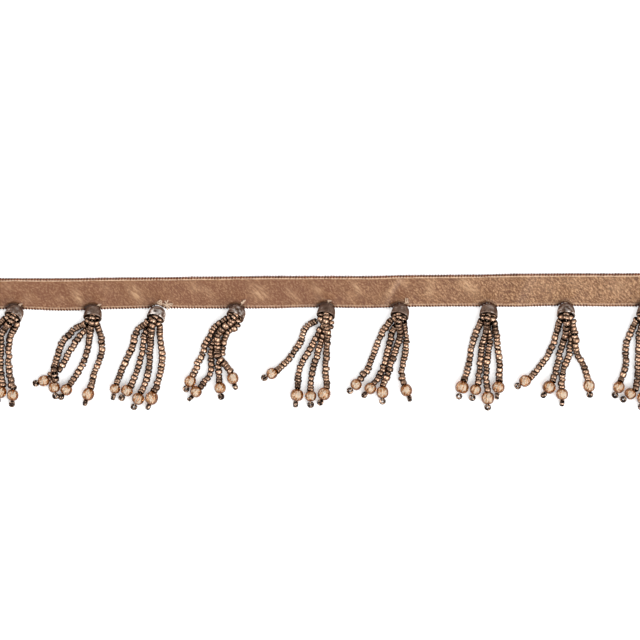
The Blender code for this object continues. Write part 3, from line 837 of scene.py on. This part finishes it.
bead_model = turned_model(BEAD_PROFILE, BEAD_SIDES)
bpy.ops.object.shade_smooth()
# Full colour on each bead's belt, darkened at the ends as thinner lustre and as painted shade between beads.
lustre_and_gap_shade = [
    1 if vertex.co.xy.length > BEAD_LUSTRE_FROM else BEAD_END_LUSTRE_AND_SHADE for vertex in bead_model.data.vertices
]
strung = []
for number, (cap, rows) in enumerate(zip(CAPS, STRINGS), start=1):
    dice = random.Random(number)
    mouth = Mouth(cap.turn)
    laid, centres, lengths, radii, owners = [], [], [], [], []
    for index, row in enumerate(rows):
        laid.append(string_line(row, mouth, laid))
        middles, sizes, widths = string_beads(row, mouth, laid[-1], dice)
        centres.append(middles)
        lengths.append(sizes)
        radii.append(widths)
        owners += [index] * len(middles)
    lengths, radii, owners = np.concatenate(lengths), np.concatenate(radii), np.array(owners)
    centres = settle_beads(np.concatenate(centres), lengths, radii, owners, mouth)
    strung.append([centres[owners == index] for index in range(len(rows))])
    spots = []
    for index in range(len(rows)):
        own = owners == index
        axes = np.gradient(centres[own], axis=0)
        for bead in zip(centres[own], axes, radii[own], lengths[own]):
            spots.append(Matrix.Translation(cap_seat(cap)) @ bead_place(*bead, dice))
    tones = np.array([dice.uniform(*BEAD_TONES) for _ in spots])
    # Painted light for the two beads of each string in the cap's mouth.
    first = np.flatnonzero(np.diff(owners, prepend=-1))
    for shown in (first, first + 1):
        tones[shown] = np.maximum(tones[shown], FIRST_BEAD_PAINTED_LIGHT)
    beads = copies(bead_model, spots, tones, lustre_and_gap_shade)
    # Painted shade: each bead is darkened the more its glass turns to the side.
    for value, vertex in zip(beads.data.attributes["tone"].data, beads.data.vertices):
        value.value *= abs(vertex.normal.z)  # darker the more the glass turns to the side
    finished(beads, f"seed_beads_{number}", bronze, [f"tassel_{number}"])


# The drops: one faceted bead of amber glass near the end of each string, 3.2 to 4 mm across. The glass is a
# little milky, with fine cracks and pale fissures, and the wall of the bore is ground white. Its colour is
# painted by how steeply each facet lies: pale on top, as painted highlight with the white bore seen through
# it, then peach, and amber at the sides, as painted shade.

DROP_EDGE = 0.1  # width of the polish on its facets' edges, as a share of the radius
DROP_CORNER = math.radians(25)  # least angle between facets whose edge is polished
DROP_STRETCHES = (1.06, 1.24)  # of the shortest and longest drops, as a share of the plain one
# Radius and height as shares of the drop's radius, from one end down the outside and back through the bore.
DROP_PROFILE = (
    (0.24, 0.80), (0.46, 0.86), (0.84, 0.64), (DROP_BELT, 0.26), (DROP_BELT, -0.26), (0.84, -0.64),
    (0.46, -0.86), (0.24, -0.80),
)
CRACK_APART = 0.9 * MM  # of the fine cracks in the glass near its skin
FISSURES = 4  # in each drop
FISSURE_THICK = 0.03
FISSURE_SIZES = (0.14, 0.3)
FISSURE_OVAL = 0.7  # its width as a share of its length
FISSURE_REACH = 0.5  # from the drop's middle, as a share of its radius
LINING_RADIUS = 0.22  # of the ground wall of the bore, as a share of the drop's radius
LINING_BORE = 0.8  # as a share of that radius
LINING_LENGTH = 1.4

amber = Finish("amber_glass", {
    "Transmission Weight": 0.7, "IOR": 1.4, "Specular IOR Level": 0.3, "Specular Tint": seen(236, 170, 120),
})
haze = amber.spots(1.4 * MM)
cell_place = {"Vector": amber.place(), "Scale": 1 / CRACK_APART}
off_crack = amber.node("ShaderNodeTexVoronoi", {"feature": "DISTANCE_TO_EDGE"}, cell_place, "Distance")
crack = amber.between(off_crack, 0.12, 0.02)
streaks = amber.grain(75, (1.1 * MM, 0.42 * MM, 0.6 * MM), 1.0)
# depth mixes the glass's haze, streaks and cracks with the painted light and shade of each facet's slope.
depth = amber.own("tone") + haze * 0.4 + (streaks - 0.5) * 1.3 + crack * 0.16
base = amber.mix(amber.between(depth, 0.4, 0.63), seen(255, 245, 226), seen(238, 178, 122))
amber.vary({
    "Base Color": amber.mix(amber.between(depth, 0.48, 0.88), base, seen(117, 60, 22)),
    "Roughness": 0.04 + amber.between(haze, 0.5, 0.75) * 0.1,
    "Normal": amber.bump(haze + crack * 0.2, 0.06 * MM),
})
cracked = Finish("ground_glass", {"IOR": 1.2, "Transmission Weight": 0.2, "Roughness": 0.3})
frost = cracked.spots(0.3 * MM)
white_crack = cracked.mix(cracked.between(frost, 0.35, 0.65), seen(255, 240, 220), seen(255, 253, 250))
cracked.vary({"Base Color": white_crack})

drop_model = turned_model(DROP_PROFILE, DROP_SIDES)
modified(drop_model, "BEVEL", width=DROP_EDGE, segments=2, limit_method="ANGLE", angle_limit=DROP_CORNER)
bpy.ops.object.shade_smooth_by_angle(angle=math.radians(20))
deselected()
bpy.ops.mesh.primitive_circle_add(vertices=7, radius=1, fill_type="TRIFAN")
fissure_model = bpy.context.object
modified(fissure_model, "SOLIDIFY", thickness=FISSURE_THICK)
lining_corners = ((1, 1), (1, -1), (LINING_BORE, -1), (LINING_BORE, 1))
lining_profile = [(LINING_RADIUS * share, end * LINING_LENGTH / 2) for share, end in lining_corners]
lining_model = turned_model(lining_profile, DROP_SIDES)
lie_down = Matrix.Rotation(math.pi / 2, 4, "X")
for number, (cap, rows) in enumerate(zip(CAPS, STRINGS), start=1):
    dice = random.Random(300 + number)
    spots, fissures, bores, nodes = [], [], [], []
    for row in rows:
        nodes.append(f"drop_{number}_{row.seat}")
        radius = row.drop / 2 * MM
        turn = Matrix.Rotation(math.radians(row.tail), 4, "Z")
        lying = Matrix.Translation(cap_seat(cap) + drop_place(row)) @ turn @ lie_down
        stretch = Matrix.Diagonal((radius, radius, radius * dice.uniform(*DROP_STRETCHES), 1))
        on_flat = (dice.randrange(DROP_SIDES) + 0.5) * math.tau / DROP_SIDES
        spots.append(lying @ Matrix.Rotation(on_flat - DROP_ROLL, 4, "Z") @ stretch)
        bores.append(lying @ Matrix.Scale(radius, 4))
        for _ in range(FISSURES):
            away = any_way(dice).normalized()
            place = Matrix.Translation(away * radius * FISSURE_REACH)
            size = radius * dice.uniform(*FISSURE_SIZES)
            shape = Matrix.Diagonal((size, size * FISSURE_OVAL, radius, 1))
            fissures.append(lying @ place @ turned_to(away.orthogonal()) @ shape)
    drops = copies(drop_model, spots)
    # Painted light: pale on facets that face up, as painted highlight, deepening to amber on steep ones, as
    # painted shade.
    painted_facet_light = [1 - vertex.normal.z ** 2 for vertex in drops.data.vertices]
    drops.data.attributes["tone"].data.foreach_set("value", painted_facet_light)
    finished(drops, f"glass_drops_{number}", amber, nodes)
    finished(copies(fissure_model, fissures), f"glass_fissures_{number}", cracked)
    finished(copies(lining_model, bores), f"bore_walls_{number}", cracked)
for model in (drop_model, fissure_model, lining_model):
    bpy.data.objects.remove(model)


# The stop beads: the last bead of each string, set crosswise behind the drop. The thread turns round it and
# goes back up through the drop. They are the same glass as the seed beads with a darker lustre.

STOP_RADIUS = 1.04 * MM
STOP_LENGTH = 1.25 * MM
STOP_BEHIND = 1.2 * MM  # from the drop's end to the stop bead's middle
STOP_SINK = 0.6 * MM  # of the stop bead under the drop's middle, where the floor leaves room for it
STRAND_RADIUS = 0.1 * MM

dark_bronze = Finish("dark_bronze_glass", {
    "Metallic": 0.85, "Specular Tint": seen(120, 90, 70), "Coat Weight": 0.15, "Coat Roughness": 0.05,
})
film = dark_bronze.spots(0.7 * MM)
bare = dark_bronze.between(film, 0.47, 0.64)
dark_bronze.vary({
    "Base Color": dark_bronze.mix(bare, seen(34, 20, 13), seen(190, 160, 138)),
    "Roughness": 0.08 + film * 0.2,
    "Normal": dark_bronze.bump(film, 0.08 * MM),
})


def stop_frame(row):
    """The middle of a string's stop bead, the way its thread comes and the way its hole points."""
    tail = Vector((*heading(row.tail), 0))
    middle = drop_place(row) + tail * (drop_half_length(row) + STOP_BEHIND)
    hole = Matrix.Rotation(math.radians(row.stop), 3, tail) @ Vector((0, 0, 1))
    lowest = STOP_RADIUS * math.hypot(hole.x, hole.y) + (STOP_LENGTH / 2 + 2 * STRAND_RADIUS) * abs(hole.z)
    middle.z = max(lowest, middle.z - STOP_SINK)
    return middle, tail, hole


for number, (cap, rows) in enumerate(zip(CAPS, STRINGS), start=1):
    dice = random.Random(100 + number)
    spots = []
    for row in rows:
        middle, tail, hole = stop_frame(row)
        spots.append(bead_place(middle + cap_seat(cap), hole, STOP_RADIUS, STOP_LENGTH, dice))
    finished(copies(bead_model, spots), f"stop_beads_{number}", dark_bronze)
bpy.data.objects.remove(bead_model)


# The thread: pale beige polyester. Each string's strand starts at a knot on the ribbon's edge, goes through
# the cap's crown and the beads, round the stop bead and back. The knots and their ends are left to show.

KNOT_TURNS = 0.5 * MM  # half the width of a knot of size 1
KNOT_STRAND_RADIUS = 0.17 * MM
KNOT_STEPS = 40
LOOSE_STEPS = 8
LOOSE_BEND = 0.35  # furthest that a loose strand's end lies to the side, as a share of its length
LOOSE_RISE = 0.3 * MM  # of its middle
TURN_BEFORE = 0.68  # from the thread's turn to the middle of the stop bead, as a share of its radius
TURN_HALF_WIDTH = 0.45 * MM
TURN_STEPS = 12
# Each knot: its size, its place to the right of its cap's middle and above it, and its loose strands. Each
# strand starts at a place given in the same way, and has a length and a turn from +Y to +X in degrees.
KNOTS = table(
    "size right above strands",
    (0.6, 1.4, 2.6, ((1.5, 2.6, 0.7, 70),)),
    (0.45, 1.7, 2.8, ((1.8, 2.8, 0.5, 70),)),
    (1.5, 0.9, 3.7, (
        (1.5, 3.4, 1.7, 96), (2.4, 4.2, 2.8, 144), (2.0, 2.2, 2.6, 42),
        (2.9, 3.4, 1.7, 105), (2.8, 3.3, 1.9, 165), (3.6, 3.3, 1.2, 80),
    )),
    (0.6, 1.7, 3.3, ((1.9, 3.4, 1.0, 60), (1.9, 3.3, 0.8, 15))),
    (0.45, 0.7, 3.4, ((0.8, 3.4, 0.6, 80),)),
    (0.4, 1.8, 3.1, ((1.6, 3.1, 1.3, 14), (2.4, 2.8, 1.5, -14))),
    (0.35, 0.0, 2.7, ()),
    (0.35, 0.0, 2.7, ()),
    (0.35, 0.0, 2.7, ()),
)

beige = Finish("beige_thread", {"Roughness": 0.7, "Sheen Weight": 0.3})
fibre = beige.grain(35, (0.35 * MM, 0.07 * MM, 0.35 * MM))
beige.vary({
    "Base Color": beige.mix(beige.between(fibre, 0.35, 0.65), seen(168, 136, 108), seen(222, 196, 170)),
    "Normal": beige.bump(fibre, 0.03 * MM),
})


def strands(lines, radius):
    """Round strands of thread, each through the points of its line, in one closed-ended mesh."""
    curve = bpy.data.curves.new("strands", "CURVE")
    curve.dimensions = "3D"
    curve.bevel_depth = radius
    curve.bevel_resolution = 1
    curve.use_fill_caps = True
    for line in lines:
        spline = curve.splines.new("POLY")
        spline.points.add(len(line) - 1)
        for point, place in zip(spline.points, line):
            point.co = (*place, 1)
    piece = added("strands", curve)
    chosen(piece)
    bpy.ops.object.convert(target="MESH")
    bpy.ops.object.shade_smooth()
    return piece


def knot_line(middle, size, turn):
    """An overhand knot pulled tight: a three-lobed line that crosses over and under itself."""
    line = []
    for k in range(KNOT_STEPS + 1):
        t = math.tau * k / KNOT_STEPS
        right = math.sin(t) + 2 * math.sin(2 * t)
        away = math.cos(t) - 2 * math.cos(2 * t)
        lobe = Vector((right, away, -math.sin(3 * t)))
        line.append(middle + Matrix.Rotation(turn, 3, "Z") @ lobe * size / 3)
    return line


def loose_end(start, length, degrees, dice):
    """A frayed strand turned from +Y to +X, which curls a little and droops to the cloth."""
    direction = Vector((math.sin(math.radians(degrees)), math.cos(math.radians(degrees)), 0))
    side = Vector((direction.y, -direction.x, 0))
    bend = dice.uniform(-LOOSE_BEND, LOOSE_BEND)
    line = []
    for k in range(LOOSE_STEPS + 1):
        share = k / LOOSE_STEPS
        rise = Vector((0, 0, LOOSE_RISE * math.sin(math.pi * share)))
        line.append(start + direction * length * share + side * bend * length * share**2 + rise)
    return line


def on_cloth(x, y, above):
    """A point over the cloth's upper face, or over the floor next to the ribbon."""
    lower = ribbon_edge(x, "lower") + drawn_in(x)
    share = (y - lower) / (ribbon_edge(x, "upper") - lower)
    top = ribbon_point(x, share).z + CLOTH_THICK / 2 if share > 0 else CLOTH_THICK
    return Vector((x, y, top + above))


for number, (cap, rows, knot, lines) in enumerate(zip(CAPS, STRINGS, KNOTS, strung), start=1):
    dice = random.Random(200 + number)
    seat = cap_seat(cap)
    half = KNOT_TURNS * knot.size
    tied = on_cloth(seat.x + knot.right * MM, seat.y + knot.above * MM, half / 3 + STRAND_RADIUS)
    knotted = [knot_line(tied, half, dice.uniform(0, math.tau))]
    for right, above, length, degrees in knot.strands:
        start = on_cloth(seat.x + right * MM, seat.y + above * MM, KNOT_STRAND_RADIUS)
        knotted.append(loose_end(start, length * MM, degrees, dice))
    finished(strands(knotted, KNOT_STRAND_RADIUS), f"knot_{number}", beige)
    runs = []
    crown = seat + Mouth(cap.turn).point(0, 0, 0)
    for row, beads in zip(rows, lines):
        middle, tail, hole = stop_frame(row)
        drop = drop_place(row)
        back = drop + tail * drop_half_length(row)
        runs.append([tied, crown, *(seat + Vector(bead) for bead in beads), seat + drop, seat + back])
        turn_middle = seat + middle - tail * STOP_RADIUS * TURN_BEFORE
        reach = STOP_LENGTH / 2 + STRAND_RADIUS
        loop = []
        for k in range(TURN_STEPS + 1):
            angle = math.tau * k / TURN_STEPS
            ahead = tail * TURN_HALF_WIDTH * math.cos(angle)
            loop.append(turn_middle - ahead + hole * reach * math.sin(angle))
        runs.append(loop)
    finished(strands(runs, STRAND_RADIUS), f"thread_{number}", beige)


# The floor and the light: a white floor that glows very faintly, as an overexposed one would look, three
# large soft lamps, and a white surround that is brightest overhead, so that shadows stay short.

FLOOR_SIZE = 4.0
SKY_LOW = 0.03  # brightness of the surround at the horizon and straight above
SKY_HIGH = 1.1
# Each lamp: its strength, its height and its turn from +X towards +Y, and how wide it looks, in degrees.
LAMPS = table(
    "name strength height turn width",
    ("key", 1.95, 54, -50, 50),
    ("left", 1.1, 34, 165, 36),
    ("right", 0.8, 27, -8, 30),
)

white = Finish("white_floor", {
    "Roughness": 0.9, "Specular IOR Level": 0.1, "Base Color": seen(251, 251, 251),
    "Emission Color": seen(255, 255, 255), "Emission Strength": 0.2,
})
deselected()
bpy.ops.mesh.primitive_plane_add(size=FLOOR_SIZE)
floor = bpy.context.object
floor.name = "floor"
floor.data.materials.append(white.material)

for row in LAMPS:
    lamp = bpy.data.lights.new(row.name, "SUN")
    lamp.energy = row.strength
    lamp.angle = math.radians(row.width)
    stand = added(row.name, lamp)
    height, turn = math.radians(row.height), math.radians(row.turn)
    level = math.cos(height)
    towards = Vector((level * math.cos(turn), level * math.sin(turn), math.sin(height)))
    stand.rotation_euler = towards.to_track_quat("Z", "Y").to_euler()

world = bpy.data.worlds.new("surround")
world.use_nodes = True
nodes = world.node_tree.nodes
heights = nodes.new("ShaderNodeMapRange")
heights.inputs["To Min"].default_value = SKY_LOW
heights.inputs["To Max"].default_value = SKY_HIGH
direction = nodes.new("ShaderNodeSeparateXYZ")
coordinates = nodes.new("ShaderNodeTexCoord")
world.node_tree.links.new(coordinates.outputs["Generated"], direction.inputs["Vector"])
world.node_tree.links.new(direction.outputs["Z"], heights.inputs["Value"])
world.node_tree.links.new(heights.outputs["Result"], nodes["Background"].inputs["Strength"])
nodes["Background"].inputs["Color"].default_value = (1, 1, 1, 1)
bpy.context.scene.world = world
bpy.context.scene.view_settings.view_transform = "Standard"


# The camera: straight above the ribbon and far off, with a long lens, so that nothing looks nearer than the
# rest. It is turned by less than half a degree, because the trim lies that much askew in the view.

VIEW_MIDDLE = (-3.26 * MM, -8.7 * MM)
VIEW_WIDTH = 195.2 * MM
VIEW_ROLL = math.radians(-0.37)
CAMERA_HEIGHT = 1.0

camera = bpy.data.cameras.new("camera")
camera.lens = camera.sensor_width * CAMERA_HEIGHT / VIEW_WIDTH
eye = added("camera", camera)
eye.location = (*VIEW_MIDDLE, CAMERA_HEIGHT)
eye.rotation_euler = (0, 0, VIEW_ROLL)
bpy.context.scene.camera = eye
